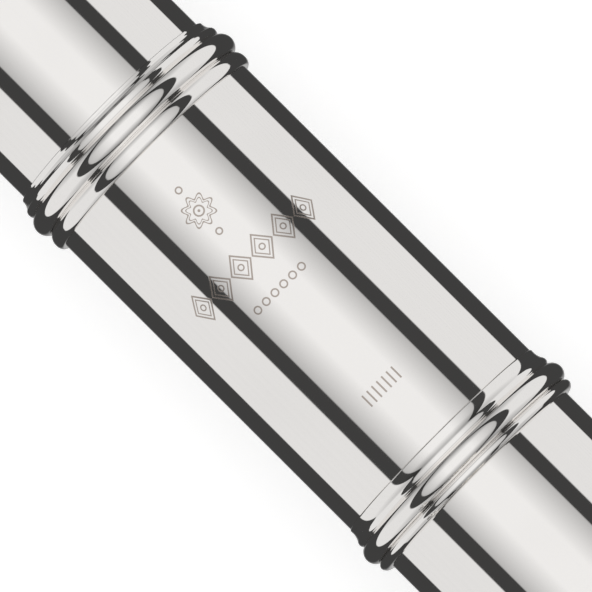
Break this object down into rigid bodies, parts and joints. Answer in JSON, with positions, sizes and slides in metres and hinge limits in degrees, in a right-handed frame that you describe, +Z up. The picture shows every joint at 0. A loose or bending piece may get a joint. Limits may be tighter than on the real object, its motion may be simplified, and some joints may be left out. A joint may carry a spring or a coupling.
{
  "type": "concert flute",
  "caption": "Transverse concert flute with covered keys, an offset G and a C foot, in silver-plated nickel silver, with sprung keys and sliding head joint.",
  "frame": {"origin": "on the tube's axis at the open end of the foot joint", "axes": "+X along the tube towards the open foot end, +Y towards the listener, +Z up through the key cups and the embouchure"},
  "size_m": [0.67, 0.0494, 0.0362],
  "materials": {
    "polished_silver": "polished silver plate with fine wipe marks",
    "post_silver": "polished silver plate",
    "key_silver": "polished silver plate with finger haze",
    "hinge_steel": "ground steel",
    "blued_steel": "blued",
    "stopper_metal": "turned, nickel plated",
    "pad_skin": "fish skin over felt",
    "cork": "natural cork"
  },
  "bodies": {
    "body": {"body_tube": "polished_silver", "barrel": "polished_silver", "head_ring": "polished_silver", "body_ring": "polished_silver", "body_ribs": "post_silver", "body_posts": "post_silver", "stack_steels": "hinge_steel", "g_steel": "hinge_steel", "back_steels": "hinge_steel", "body_springs": "blued_steel"},
    "head": {"head_tube": "polished_silver", "riser": "polished_silver", "lip_plate": "polished_silver"},
    "crown": {"crown": "polished_silver"},
    "stopper": {"stopper_cork": "cork", "stopper_plate": "stopper_metal", "stopper_washer": "stopper_metal", "stopper_screw": "stopper_metal"},
    "foot": {"foot_tube": "polished_silver", "foot_socket": "polished_silver", "foot_ring": "polished_silver", "foot_end_ring": "polished_silver", "foot_ribs": "post_silver", "foot_posts": "post_silver", "foot_steels": "hinge_steel", "foot_springs": "blued_steel"},
    "key_c": {"c_key": "key_silver", "c_pad": "pad_skin"},
    "key_a_sharp": {"a_sharp_key": "key_silver", "a_sharp_pad": "pad_skin"},
    "key_a": {"a_key": "key_silver", "a_pad": "pad_skin"},
    "key_g": {"g_key": "key_silver", "g_pads": "pad_skin"},
    "key_f_sharp": {"f_sharp_key": "key_silver", "f_sharp_pad": "pad_skin"},
    "key_f": {"f_key": "key_silver", "f_pad": "pad_skin"},
    "key_e": {"e_key": "key_silver", "e_pad": "pad_skin"},
    "key_d": {"d_key": "key_silver", "d_pad": "pad_skin"},
    "key_thumb_b": {"thumb_b_key": "key_silver", "thumb_b_pad": "pad_skin"},
    "key_thumb_b_flat": {"thumb_b_flat_key": "key_silver"},
    "key_g_sharp": {"g_sharp_key": "key_silver", "g_sharp_pad": "pad_skin"},
    "key_d_sharp_trill": {"d_sharp_trill_key": "key_silver", "d_sharp_trill_pad": "pad_skin"},
    "key_d_trill": {"d_trill_key": "key_silver", "d_trill_pad": "pad_skin"},
    "key_foot_d_sharp": {"foot_d_sharp_key": "key_silver", "foot_d_sharp_pad": "pad_skin"},
    "key_foot_c_sharp": {"foot_c_sharp_key": "key_silver", "foot_c_sharp_pad": "pad_skin"},
    "key_foot_c": {"foot_c_key": "key_silver", "foot_c_pad": "pad_skin"},
    "roller_c_sharp": {"c_sharp_roller": "key_silver"},
    "roller_c": {"c_roller": "key_silver"}
  },
  "joints": [
    {"name": "head_joint_tuning", "type": "slide", "parent": "body", "child": "head", "axis": [-1, 0, 0], "range_m": [-0.005, 0.015]},
    {"name": "crown_turn", "type": "hinge", "parent": "head", "child": "crown", "pos_m": [-0.664, 0, 0], "axis": [-1, 0, 0], "range_deg": [-360, 360]},
    {"name": "stopper_travel", "type": "slide", "parent": "head", "child": "stopper", "axis": [-1, 0, 0], "range_m": [-0.00075, 0.00075]},
    {"name": "foot_joint_turn", "type": "hinge", "parent": "body", "child": "foot", "pos_m": [-0.124, 0, 0], "axis": [1, 0, 0], "continuous": true},
    {"name": "c_hinge", "type": "hinge", "parent": "body", "child": "key_c", "pos_m": [-0.37, -0.01163, 0.01247], "axis": [-1, 0, 0], "range_deg": [0, 8.5], "stiffness_Nm_per_rad": 0.02, "springref_deg": -17.19},
    {"name": "a_sharp_hinge", "type": "hinge", "parent": "body", "child": "key_a_sharp", "pos_m": [-0.3115, -0.01163, 0.01247], "axis": [-1, 0, 0], "range_deg": [0, 8.5], "stiffness_Nm_per_rad": 0.02, "springref_deg": -17.19},
    {"name": "a_hinge", "type": "hinge", "parent": "body", "child": "key_a", "pos_m": [-0.291, -0.01163, 0.01247], "axis": [-1, 0, 0], "range_deg": [0, 8.5], "stiffness_Nm_per_rad": 0.02, "springref_deg": -17.19},
    {"name": "g_hinge", "type": "hinge", "parent": "body", "child": "key_g", "pos_m": [-0.2695, -0.00853, 0.01477], "axis": [-1, 0, 0], "range_deg": [0, 8.5], "stiffness_Nm_per_rad": 0.02, "springref_deg": -17.19},
    {"name": "f_sharp_hinge", "type": "hinge", "parent": "body", "child": "key_f_sharp", "pos_m": [-0.2223, -0.01163, 0.01247], "axis": [-1, 0, 0], "range_deg": [0, 8.5], "stiffness_Nm_per_rad": 0.02, "springref_deg": -17.19},
    {"name": "f_hinge", "type": "hinge", "parent": "body", "child": "key_f", "pos_m": [-0.1965, -0.01163, 0.01247], "axis": [-1, 0, 0], "range_deg": [0, 8.5], "stiffness_Nm_per_rad": 0.02, "springref_deg": -17.19},
    {"name": "e_hinge", "type": "hinge", "parent": "body", "child": "key_e", "pos_m": [-0.169, -0.01163, 0.01247], "axis": [-1, 0, 0], "range_deg": [0, 8.5], "stiffness_Nm_per_rad": 0.02, "springref_deg": -17.19},
    {"name": "d_hinge", "type": "hinge", "parent": "body", "child": "key_d", "pos_m": [-0.141, -0.01163, 0.01247], "axis": [-1, 0, 0], "range_deg": [0, 8.5], "stiffness_Nm_per_rad": 0.02, "springref_deg": -17.19},
    {"name": "thumb_b_hinge", "type": "hinge", "parent": "body", "child": "key_thumb_b", "pos_m": [-0.331, -0.01674, 0.00325], "axis": [1, 0, 0], "range_deg": [0, 8.5], "stiffness_Nm_per_rad": 0.02, "springref_deg": -17.19},
    {"name": "thumb_b_flat_hinge", "type": "hinge", "parent": "body", "child": "key_thumb_b_flat", "pos_m": [-0.301, -0.01674, 0.00325], "axis": [1, 0, 0], "range_deg": [0, 8.5], "stiffness_Nm_per_rad": 0.02, "springref_deg": -17.19},
    {"name": "g_sharp_hinge", "type": "hinge", "parent": "body", "child": "key_g_sharp", "pos_m": [-0.2465, 0.01689, 0.00237], "axis": [1, 0, 0], "range_deg": [0, 8], "stiffness_Nm_per_rad": 0.02, "springref_deg": -17.19},
    {"name": "d_sharp_trill_hinge", "type": "hinge", "parent": "body", "child": "key_d_sharp_trill", "pos_m": [-0.416, -0.0152, 0.0102], "axis": [1, 0, 0], "range_deg": [0, 8], "stiffness_Nm_per_rad": 0.02, "springref_deg": -17.19},
    {"name": "d_trill_hinge", "type": "hinge", "parent": "body", "child": "key_d_trill", "pos_m": [-0.395, -0.0152, 0.0102], "axis": [1, 0, 0], "range_deg": [0, 8], "stiffness_Nm_per_rad": 0.02, "springref_deg": -17.19},
    {"name": "foot_d_sharp_hinge", "type": "hinge", "parent": "foot", "child": "key_foot_d_sharp", "pos_m": [-0.1075, -0.01397, 0.00978], "axis": [1, 0, 0], "range_deg": [0, 8], "stiffness_Nm_per_rad": 0.02, "springref_deg": -17.19},
    {"name": "foot_c_sharp_hinge", "type": "hinge", "parent": "foot", "child": "key_foot_c_sharp", "pos_m": [-0.0785, 0.00878, 0.01462], "axis": [1, 0, 0], "range_deg": [0, 8.5], "stiffness_Nm_per_rad": 0.02, "springref_deg": -17.19},
    {"name": "foot_c_hinge", "type": "hinge", "parent": "foot", "child": "key_foot_c", "pos_m": [-0.047, 0.00878, 0.01462], "axis": [1, 0, 0], "range_deg": [0, 8.5], "stiffness_Nm_per_rad": 0.02, "springref_deg": -17.19},
    {"name": "roller_c_sharp_spin", "type": "hinge", "parent": "key_foot_c_sharp", "child": "roller_c_sharp", "pos_m": [-0.089, -0.0232, 0.0162], "axis": [0, 0.9981, 0.061], "continuous": true},
    {"name": "roller_c_spin", "type": "hinge", "parent": "key_foot_c", "child": "roller_c", "pos_m": [-0.0851, -0.0232, 0.0162], "axis": [0, 0.9981, 0.061], "continuous": true}
  ],
  "couplings": [
    {"joint": "stopper_travel", "follows": "crown_turn", "m_per_rad": 0.00011141},
    {"joint": "f_sharp_hinge", "follows": "f_hinge", "ratio": 1},
    {"joint": "a_sharp_hinge", "follows": "f_hinge", "ratio": 1},
    {"joint": "thumb_b_hinge", "follows": "thumb_b_flat_hinge", "ratio": 1},
    {"joint": "foot_c_sharp_hinge", "follows": "foot_c_hinge", "ratio": 1}
  ]
}
